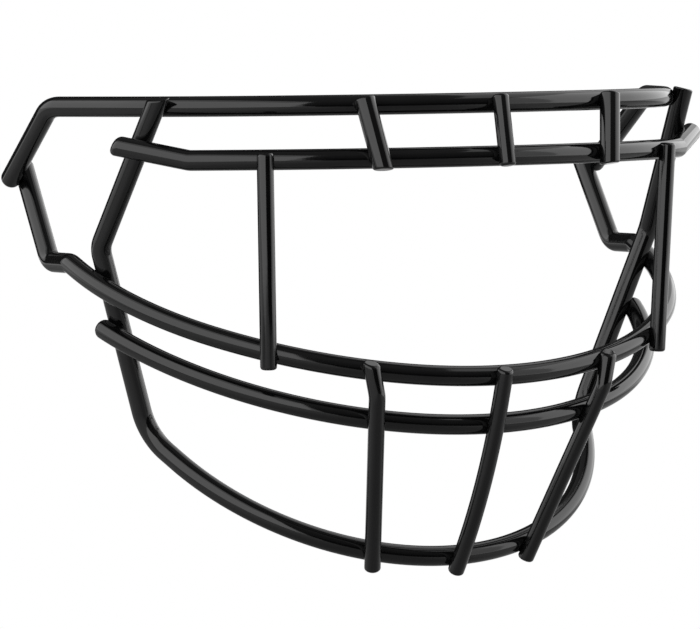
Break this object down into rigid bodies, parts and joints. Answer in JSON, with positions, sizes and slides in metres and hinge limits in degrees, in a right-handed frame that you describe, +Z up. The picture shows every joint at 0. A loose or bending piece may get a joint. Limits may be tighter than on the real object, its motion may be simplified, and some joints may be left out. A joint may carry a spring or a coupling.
{
  "type": "football helmet facemask",
  "caption": "Welded wire cage for the front of a football helmet, with brow bars, mouth bars and a chin hoop, coated gloss black.",
  "frame": {"origin": "centreline of the top bar in the middle of the face", "axes": "+X to the right as seen from in front, +Y back towards the wearer, +Z up"},
  "size_m": [0.2362, 0.1326, 0.1572],
  "materials": {
    "coated_wire": "gloss black coating over steel wire",
    "weld_steel": "bare weld metal inside the joints"
  },
  "bodies": {
    "root": {"brow_strut_center": "coated_wire", "brow_strut_left": "coated_wire", "brow_strut_right": "coated_wire", "chin_hoop": "coated_wire", "eye_vertical_left": "coated_wire", "eye_vertical_right": "coated_wire", "lower_brow_bar": "coated_wire", "lower_mouth_bar": "coated_wire", "mouth_vertical_center": "coated_wire", "mouth_vertical_left": "coated_wire", "mouth_vertical_right": "coated_wire", "top_bar": "coated_wire", "upper_mouth_bar": "coated_wire", "weld_chin_hoop_to_mouth_vertical_center": "weld_steel", "weld_chin_hoop_to_mouth_vertical_left": "weld_steel", "weld_chin_hoop_to_mouth_vertical_right": "weld_steel", "weld_lower_brow_bar_to_brow_strut_center": "weld_steel", "weld_lower_brow_bar_to_brow_strut_left": "weld_steel", "weld_lower_brow_bar_to_brow_strut_right": "weld_steel", "weld_lower_brow_bar_to_chin_hoop_left": "weld_steel", "weld_lower_brow_bar_to_chin_hoop_right": "weld_steel", "weld_lower_brow_bar_to_eye_vertical_left": "weld_steel", "weld_lower_brow_bar_to_eye_vertical_right": "weld_steel", "weld_lower_mouth_bar_to_chin_hoop_left": "weld_steel", "weld_lower_mouth_bar_to_chin_hoop_right": "weld_steel", "weld_lower_mouth_bar_to_mouth_vertical_center": "weld_steel", "weld_lower_mouth_bar_to_mouth_vertical_left": "weld_steel", "weld_lower_mouth_bar_to_mouth_vertical_right": "weld_steel", "weld_top_bar_to_brow_strut_center": "weld_steel", "weld_top_bar_to_brow_strut_left": "weld_steel", "weld_top_bar_to_brow_strut_right": "weld_steel", "weld_top_bar_to_chin_hoop_left": "weld_steel", "weld_top_bar_to_chin_hoop_right": "weld_steel", "weld_top_bar_to_upper_mouth_bar_left": "weld_steel", "weld_top_bar_to_upper_mouth_bar_right": "weld_steel", "weld_upper_mouth_bar_to_chin_hoop_left": "weld_steel", "weld_upper_mouth_bar_to_chin_hoop_right": "weld_steel", "weld_upper_mouth_bar_to_eye_vertical_left": "weld_steel", "weld_upper_mouth_bar_to_eye_vertical_right": "weld_steel", "weld_upper_mouth_bar_to_mouth_vertical_center": "weld_steel", "weld_upper_mouth_bar_to_mouth_vertical_left": "weld_steel", "weld_upper_mouth_bar_to_mouth_vertical_right": "weld_steel"}
  },
  "joints": []
}
